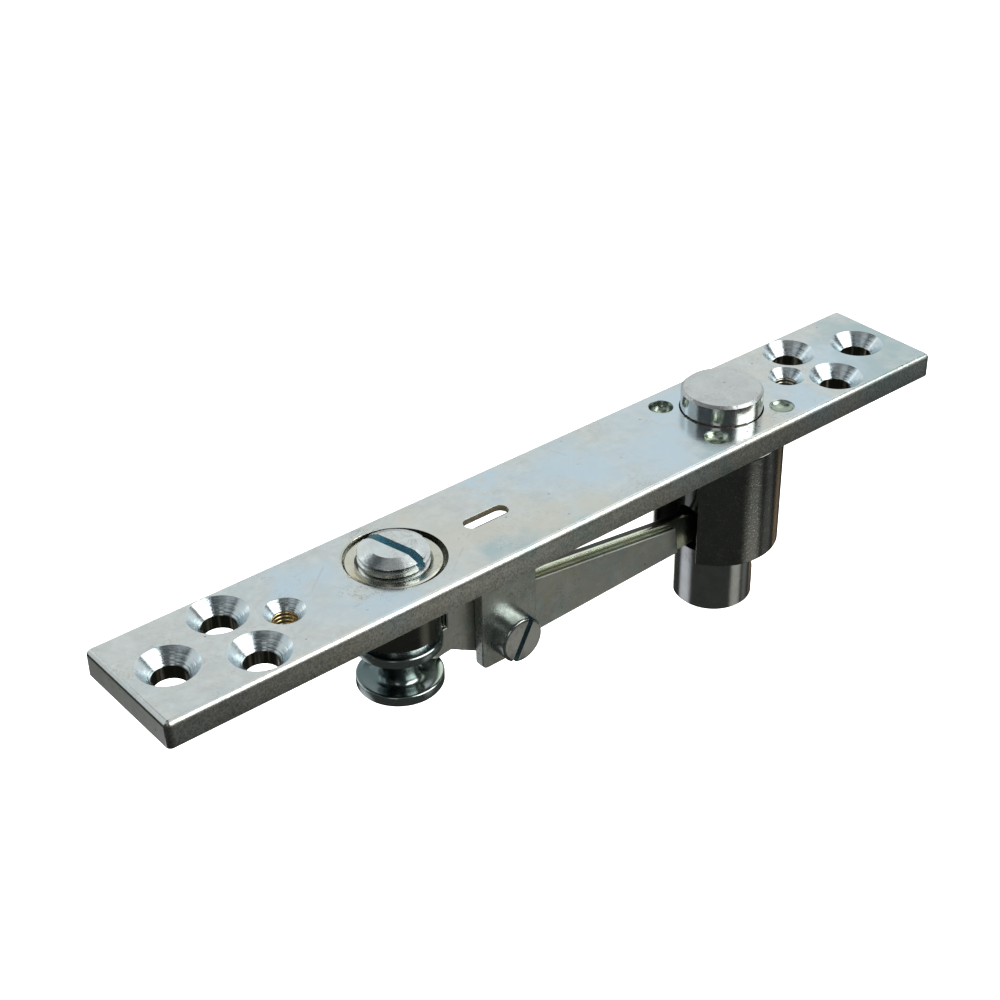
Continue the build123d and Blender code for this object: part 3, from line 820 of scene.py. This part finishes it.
def addGuideSleeve(sleeve):
    # its rounded top catches the light under the plate
    bm = nodeCopy("guide_sleeve")
    low, reach = sleeve["rimFrom"] * mm, sleeve["rimRadius"] * mm
    rim = [e for e in bm.edges if all(v.co.z > low and v.co.xy.length > reach for v in e.verts)]
    bmesh.ops.bevel(bm, geom=rim, offset=sleeve["rim"] * mm, segments=3, profile=0.5, affect="EDGES",
                    material=-1)
    addBroken(addPlainPiece("guide_sleeve", sleeve, bm), sleeve)


addGuideSleeve(guideSleeve)

pivotPin = {"name": "pivotPin", "edge": 0.14, "faceFrom": 4.05, "edgeFrom": 3.0,
            "edgeSlope": (0.4, 0.9)}


def addPivotPin(pin):
    piece = addPlainPiece("pivot_pin", pin, nodeCopy("pivot_pin"))
    steep, flat = pin["edgeSlope"]
    faceOff(piece, "pinFace", lambda face: face.center.z > pin["faceFrom"] * mm)
    faceOff(piece, "pinEdge", lambda face: (
        face.center.z > pin["edgeFrom"] * mm and steep < face.normal.z < flat))
    addBroken(piece, pin)


addPivotPin(pivotPin)

pivotBracket = {"name": "pivotBracket", "edge": 0.22}
pivotScrewNut = {"name": "pivotScrewNut", "edge": 0.2}
leverBush = {"name": "leverBush", "edge": 0.12}
for node, part in (("pivot_bracket", pivotBracket), ("pivot_screw_nut", pivotScrewNut),
                   ("lever_bush", leverBush)):
    addBroken(addPlainPiece(node, part, nodeCopy(node)), part)

leverBlade = {"name": "leverBlade", "edge": 0.15, "split": -0.25, "brightFrom": -58}


def acrossSheet(face):
    # the punched edge, not the sheet's flat sides
    return abs(face.normal.y) < 0.5


def addLeverBlade(blade):
    # its punched edge keeps the blade's bright finish in a strip along the front; painted shade makes it
    # dark behind that strip and round the nose
    bm = nodeCopy("lever_blade")
    split = blade["split"] * mm
    bmesh.ops.bisect_plane(bm, geom=list(bm.verts) + list(bm.edges) + list(bm.faces), dist=1e-7,
                           plane_co=(0, split, 0), plane_no=(0, 1, 0))
    piece = addPlainPiece("lever_blade", blade, bm)
    faceOff(piece, "shearedAndShaded", lambda face: (
        acrossSheet(face) and face.center.y > split or face.center.x < blade["brightFrom"] * mm))
    addBroken(piece, blade)


addLeverBlade(leverBlade)

# painted shade: the rear cheek's broken edges are dark like its punched edge
leverCheekFront = {"name": "leverCheekFront", "edge": 0.26}
leverCheekRear = {"name": "leverCheekRear", "edge": 0.2, "edgeMaterial": 1}


def addLeverCheek(node, cheek):
    piece = addPlainPiece(node, cheek, nodeCopy(node))
    # painted shade as well as the dark of a sheared edge: the punched edges get the near-black finish
    faceOff(piece, "shearedAndShaded", acrossSheet)
    addBroken(piece, cheek)


addLeverCheek("lever_cheek_front", leverCheekFront)
addLeverCheek("lever_cheek_rear", leverCheekRear)
print("sleeve, pin, bracket, nut, bush and lever dressed")


# the plate: countersinks get the bright cut finish, and the sight slot is flared below its lip
facePlate = {
    "breakWidth": 0.12,
    "sinkReach": 5.4,
    "sinkSlope": (0.35, 0.93),
    "slotX": -55.3,
    "slotHalf": (5.6, 2.6),
    "wallHeights": (-4.6, -0.02),
    "lip": 1.15,
    "pocketDepth": 3.9,
    "pocketTop": (9.4, 3.4),
    "pocketFoot": (19, 12.6),
}


def inSink(face, plate, holes):
    middle = face.calc_center_median()
    near = any(math.hypot(middle.x - x * mm, abs(middle.y) - y * mm) < plate["sinkReach"] * mm
               for x, y in holes)
    flat, steep = plate["sinkSlope"]
    return near and flat < abs(face.normal.z) < steep


def pocketTool(plate):
    # the flare as a frustum, narrow at the lip and wide at the plate's underside
    lip, depth = plate["lip"], plate["pocketDepth"]
    bm = slotTool(*plate["pocketTop"], depth, 0, (plate["slotX"], 0, -depth / 2 - lip))
    feet = [v for v in bm.verts if v.co.z < -(lip + 1) * mm]
    spread = [foot / top for foot, top in zip(plate["pocketFoot"], plate["pocketTop"])]
    middle = Matrix.Translation((-plate["slotX"] * mm, 0, 0))
    bmesh.ops.scale(bm, vec=(*spread, 1), space=middle, verts=feet)
    return bm


def addFacePlate(plate):
    bm = nodeCopy("face_plate")
    bm.normal_update()
    holes = plateLook["bigHoles"] + plateLook["smallHoles"]
    for face in bm.faces:
        if inSink(face, plate, holes):
            face.material_index = 1
    piece = addObject(bm, "facePlate")
    for name in ("plateSteel", "sinkSteel", "punchedSteel"):
        piece.data.materials.append(materials[name])
    cutAway(piece, pocketTool(plate))
    halfLength, halfWidth = plate["slotHalf"]
    low, high = plate["wallHeights"]
    for face in piece.data.polygons:
        x, y, z = (v / mm for v in face.center)
        if abs(x - plate["slotX"]) < halfLength and abs(y) < halfWidth and low < z < high:
            face.material_index = 2
    finishPiece(piece, "face_plate", plate["breakWidth"])


addFacePlate(facePlate)
print("face plate dressed")


# turned pieces: half sections are (radius, height) in mm
def finishTurned(piece, node, part):
    finishPiece(piece, node, 0, part["sharpAngle"])


adjustingScrew = {
    "section": ((0, 3.0), (3.9, 3.0), (4.0, 2.96), (5.0, 2.5), (5.6, 2.2), (5.85, 2.05), (5.95, 1.9),
                (5.95, -14.85), (1.7, -14.85), (1.7, -24.55), (2.5, -24.55), (2.5, -25.1),
                (2.1, -25.35), (0, -25.35)),
    "top": 3.0,
    "pitch": 1.5,
    "cutRadius": 6.05,
    "threadDepth": 0.7,
    "threadTop": 2.08,
    "rootFlat": 0.1,
    "flank": 0.33,
    "turns": 10,
    "slotLength": 14,
    "slotWidth": 1.6,
    "slotDepth": 2.4,
    "slotFloor": 0.55,
    "slotTurn": 103,
    "sharpAngle": 19,
}


def threadTool(screw, steps=40):
    # the thread's groove as a closed helix round the screw
    bm = bmesh.new()
    outer = screw["cutRadius"]
    root = screw["rootFlat"]
    inner = outer - screw["threadDepth"] - root
    half = screw["pitch"] * screw["flank"]
    low = screw["threadTop"] - screw["pitch"] * screw["turns"]
    section = ((outer, low - half), (outer, low + half), (inner, low + root), (inner, low - root))
    corners = [bm.verts.new((r * mm, 0, z * mm)) for r, z in section]
    face = bm.faces.new(corners)
    count = steps * screw["turns"]
    bmesh.ops.spin(bm, geom=corners + list(face.edges) + [face], cent=(0, 0, 0), axis=(0, 0, 1),
                   dvec=(0, 0, screw["pitch"] * mm / steps), angle=math.tau * screw["turns"], steps=count,
                   use_merge=False, use_duplicate=False)
    bmesh.ops.holes_fill(bm, edges=[e for e in bm.edges if e.is_boundary], sides=0)
    return bm


def sawSlot(piece, screw):
    cutAway(piece, slotTool(screw["slotLength"], screw["slotWidth"], 2 * screw["slotDepth"],
                            screw["slotTurn"], (0, 0, screw["top"])))


def inSlot(face, screw):
    # walls and floor of a saw slot through the middle
    across = face.center.to_3d()
    across.rotate(Matrix.Rotation(-math.radians(screw["slotTurn"]), 3, "Z"))
    width, floor = screw["slotWidth"], screw["slotFloor"] * mm
    wall = abs(across.y) < (width / 2 + 0.01) * mm and face.center.z > floor and abs(face.normal.z) < 0.1
    return wall or abs(across.y) < width * 0.4 * mm and abs(face.center.z - floor) < 0.1 * mm


def onTop(face, screw):
    return face.center.z > (screw["top"] - 0.01) * mm


def addAdjustingScrew(screw):
    piece = addObject(lathe(screw["section"]), "adjustingScrew")
    cutAway(piece, threadTool(screw))
    sawSlot(piece, screw)
    piece["node"] = "adjusting_screw"
    faceOff(piece, "screwFace", lambda face: onTop(face, screw))
    faceOff(piece, "sawnSteel", lambda face: inSlot(face, screw))
    piece.data.transform(Matrix.Translation((screwAxis[0] * mm, 0, 0)))
    finishTurned(piece, "adjusting_screw", screw)


addAdjustingScrew(adjustingScrew)
print("adjusting screw turned, threaded and slotted")


threadedBush = {
    "name": "threadedBush",
    "section": ((6.0, -13.6), (6.0, -0.5), (6.4, -0.02), (6.45, 0), (7.62, 0), (7.7, -0.04),
                (7.97, -0.12), (8.0, -0.2), (8.0, -4.7), (9.6, -4.7), (9.6, -6.0), (7.2, -6.0),
                (7.2, -13.4), (7.0, -13.6)),
    "steps": 128,
    "sharpAngle": 24,
}
adjusterSpool = {
    "name": "adjusterSpool",
    "section": ((1.75, -14.85), (6.9, -14.85), (7.3, -15.0), (7.5, -15.3), (7.5, -16.45), (7.3, -16.65),
                (4.3, -16.65), (3.5, -16.8), (3.15, -17.3), (3.1, -18.0), (3.1, -21.9), (3.2, -22.5),
                (3.5, -23.0), (3.95, -23.3), (4.5, -23.36), (5.1, -23.24), (5.7, -23.04), (6.3, -22.8),
                (6.8, -22.6), (7.1, -22.55), (7.35, -22.6), (7.48, -22.75), (7.5, -22.85), (7.5, -24.2),
                (7.3, -24.5), (6.9, -24.55), (1.75, -24.55)),
    "steps": 128,
    "sharpAngle": 50,
}


def addOnScrewAxis(node, part):
    bm = lathe(part["section"], part["steps"])
    bmesh.ops.translate(bm, vec=(screwAxis[0] * mm, 0, 0), verts=bm.verts)
    finishTurned(addObject(bm, part["name"]), node, part)


addOnScrewAxis("threaded_bush", threadedBush)
addOnScrewAxis("adjuster_spool", adjusterSpool)
print("bush and spool turned")


# ragged burr that the drill left round the pin's hole and the bush's hole: sizes in mm. The pin's burr is
# near black on its left front only: painted shade of the gap round the pin as well as a burr
holeBurrs = {
    "pinHoleBurrAndShade": {"place": (0, 0), "radius": 7.62, "from": 165, "to": 262, "height": 0.14,
                    "rag": 0.30, "metal": "burrAndGapShade"},
    "bushHoleBurr": {"place": (-73.95, 0.3), "radius": 8.72, "from": 92, "to": 178, "height": 0.08,
                     "rag": 0.12, "metal": "bushSteel"},
}


burrNoise = {"rag": 2600, "rise": 3100, "riseHeight": 0.08, "baseShare": 0.45}


def addHoleBurr(name, burr, rough, steps=90, inset=0.1, spread=0.22, root=-0.3):
    bm = bmesh.new()
    inner, outer = burr["radius"] - inset, burr["radius"] + spread
    section = ((inner, root), (inner, 0.0), (inner + 0.1, burr["height"]), (outer, 0.005), (outer, root))
    corners = [bm.verts.new((r * mm, 0, z * mm)) for r, z in section]
    face = bm.faces.new(corners)
    start = Matrix.Rotation(math.radians(burr["from"]), 3, "Z")
    bmesh.ops.rotate(bm, cent=(0, 0, 0), matrix=start, verts=bm.verts)
    bmesh.ops.spin(bm, geom=corners + list(face.edges) + [face], cent=(0, 0, 0), axis=(0, 0, 1),
                   dvec=(0, 0, 0), angle=math.radians(burr["to"] - burr["from"]), steps=steps,
                   use_merge=False, use_duplicate=False)
    bmesh.ops.holes_fill(bm, edges=[e for e in bm.edges if e.is_boundary], sides=0)
    for vert in bm.verts:
        if vert.co.z > -0.1 * mm:
            way = Vector((vert.co.x, vert.co.y, 0)).normalized()
            rag = noiseAt(vert.co * rough["rag"]) * burr["rag"] * mm
            vert.co += way * rag * (1.0 if vert.co.z > 0.01 * mm else rough["baseShare"])
            vert.co.z += max(0, noiseAt(vert.co * rough["rise"])) * rough["riseHeight"] * mm
    bmesh.ops.translate(bm, vec=(burr["place"][0] * mm, burr["place"][1] * mm, 0), verts=bm.verts)
    piece = addObject(bm, name)
    piece.data.materials.append(materials[burr["metal"]])
    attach(piece, "plate")


for name, burr in holeBurrs.items():
    addHoleBurr(name, burr, burrNoise)
print("burrs raised:", len(holeBurrs))


# four plugs over the sleeve's rim: x, y and how deep each is dished, as a multiple of the section
sleevePlugs = {
    "places": ((8.39, 7.11, 1.0), (8.39, -7.11, 0.9), (-8.39, 7.11, 1.8), (-8.39, -7.11, 1.2)),
    "section": ((0, -1.0), (0.7, -0.96), (1.3, -0.84), (1.75, -0.62), (2.0, -0.38), (2.12, -0.18),
                (2.22, -0.15), (2.3, -0.2), (2.3, -4.7), (0, -4.7)),
    "dishRadius": 2.2,
    "dishHeights": (-1.5, -0.17),
    "steps": 48,
    "sharpAngle": 50,
}


def addSleevePlugs(plugs):
    whole = bmesh.new()
    low, high = plugs["dishHeights"]
    for x, y, depth in plugs["places"]:
        bm = lathe([(r, z * depth if low < z < high and r < plugs["dishRadius"] else z)
                    for r, z in plugs["section"]], plugs["steps"])
        bmesh.ops.translate(bm, vec=(x * mm, y * mm, 0), verts=bm.verts)
        part = bpy.data.meshes.new("plug")
        bm.to_mesh(part)
        bm.free()
        whole.from_mesh(part)
        bpy.data.meshes.remove(part)
    finishTurned(addObject(whole, "sleevePlugs"), "sleeve_plugs", plugs)


addSleevePlugs(sleevePlugs)
print("plugs set")


crossScrew = {
    "section": ((0, 7.6), (3.75, 7.6), (4.05, 7.5), (4.2, 7.3), (4.25, 7.05), (4.25, 4.3), (2.5, 4.3),
                (2.5, -9.1), (0, -9.1)),
    "top": 7.6,
    "slotLength": 12,
    "slotWidth": 1.2,
    "slotDepth": 1.5,
    "slotFloor": 6.08,
    "slotTurn": 62,
    "sharpAngle": 30,
}


def addCrossScrew(screw):
    piece = addObject(lathe(screw["section"]), "crossScrew")
    sawSlot(piece, screw)
    piece["node"] = "lever_pivot_screw"
    faceOff(piece, "crossScrewFace", lambda face: onTop(face, screw))
    # painted shade in the cross screw's saw slot
    faceOff(piece, "sawnSlotShade", lambda face: inSlot(face, screw))
    # it was turned standing up and lies across the plate
    place = Matrix.Translation((crossAxis[0] * mm, 0, crossAxis[2] * mm))
    piece.data.transform(place @ Matrix.Rotation(math.pi / 2, 4, "X"))
    finishTurned(piece, "lever_pivot_screw", screw)


addCrossScrew(crossScrew)
print("cross screw set")
